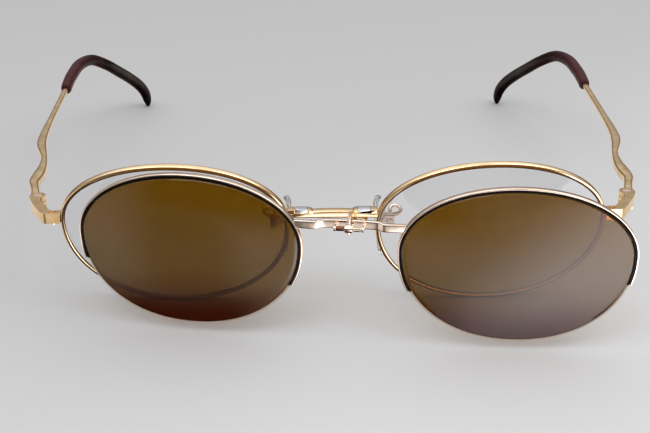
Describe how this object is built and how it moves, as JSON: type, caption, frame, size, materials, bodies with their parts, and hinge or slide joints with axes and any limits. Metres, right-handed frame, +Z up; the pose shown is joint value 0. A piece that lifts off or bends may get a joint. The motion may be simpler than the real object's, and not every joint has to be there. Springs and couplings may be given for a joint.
{
  "type": "clip-on flip-up eyeglasses",
  "caption": "Oval metal eyeglasses with clear lenses and a tinted clip-on pair hung from the bridge, which flips up on a sprung centre hinge.",
  "frame": {"origin": "on the supporting surface, under the middle of the whole part's bounding box", "axes": "+X from the wearer's right lens to the left one as seen from the front (picture left to right), +Y back along the temples, +Z up; the front faces -Y"},
  "size_m": [0.1455, 0.1591, 0.0351],
  "materials": {
    "gold": "polished gold plate",
    "rose_gold": "polished rose gold plate",
    "steel": "polished",
    "clear_lens": "clear, coated",
    "tinted_lens": "brown tint",
    "pad": "clear soft plastic",
    "tip": "dark wine, polished",
    "nylon": "translucent nylon",
    "black": "dark groove strip",
    "dark": "dark brown",
    "magnet": "bright"
  },
  "bodies": {
    "frame": {"left_rim": "gold", "right_rim": "gold", "left_lens": "clear_lens", "right_lens": "clear_lens", "bridge": "gold", "bridge_keeper": "steel", "left_magnet": "magnet", "right_magnet": "magnet", "left_endpiece": "gold", "right_endpiece": "gold", "left_rim_screw": "steel", "right_rim_screw": "steel", "left_hinge_screw": "steel", "right_hinge_screw": "steel", "left_pad_arm": "gold", "right_pad_arm": "gold", "left_pad_box": "gold", "right_pad_box": "gold", "left_pad_screw": "steel", "right_pad_screw": "steel"},
    "left_pad": {"left_pad_insert": "steel", "left_nose_pad": "pad"},
    "right_pad": {"right_pad_insert": "steel", "right_nose_pad": "pad"},
    "left_side": {"left_temple_eye": "gold", "left_temple": "gold", "left_tip": "tip"},
    "right_side": {"right_temple_eye": "gold", "right_temple": "gold", "right_tip": "tip"},
    "clip_foot": {"foot_magnet": "magnet"},
    "clip_hanger": {"clip_arm": "gold", "hinge_head": "rose_gold"},
    "clip_on": {"clip_bridge": "rose_gold", "clip_ears": "rose_gold", "flip_pin": "steel", "pin_sleeve": "dark", "flip_spring": "steel", "left_half_rim": "rose_gold", "right_half_rim": "rose_gold", "left_liner": "black", "right_liner": "black", "left_tint": "tinted_lens", "right_tint": "tinted_lens", "left_cord": "nylon", "right_cord": "nylon", "left_keeper": "steel", "right_keeper": "steel"}
  },
  "joints": [
    {"name": "left_temple_fold", "type": "hinge", "parent": "frame", "child": "left_side", "pos_m": [-0.06345, -0.04769, 0.02], "axis": [0, 0, -1], "range_deg": [-4, 89]},
    {"name": "right_temple_fold", "type": "hinge", "parent": "frame", "child": "right_side", "pos_m": [0.06615, -0.04769, 0.02], "axis": [0, 0, 1], "range_deg": [-4, 82.5]},
    {"name": "left_pad_rock", "type": "hinge", "parent": "frame", "child": "left_pad", "pos_m": [-0.01125, -0.05009, 0.0166], "axis": [0, 1, 0], "range_deg": [-6, 6]},
    {"name": "right_pad_rock", "type": "hinge", "parent": "frame", "child": "right_pad", "pos_m": [0.01395, -0.05009, 0.0166], "axis": [0, 1, 0], "range_deg": [-6, 6]},
    {"name": "clip_pull_off", "type": "slide", "parent": "frame", "child": "clip_foot", "axis": [0, -1, 0], "range_m": [0, 0.03]},
    {"name": "clip_swivel", "type": "hinge", "parent": "clip_foot", "child": "clip_hanger", "pos_m": [0.0071, -0.05929, 0.0208], "axis": [0, 0, 1], "range_deg": [0, 8]},
    {"name": "clip_flip", "type": "hinge", "parent": "clip_hanger", "child": "clip_on", "pos_m": [0.00437, -0.07614, 0.02606], "axis": [-0.9914, 0.1305, 0], "range_deg": [-8, 88]}
  ]
}
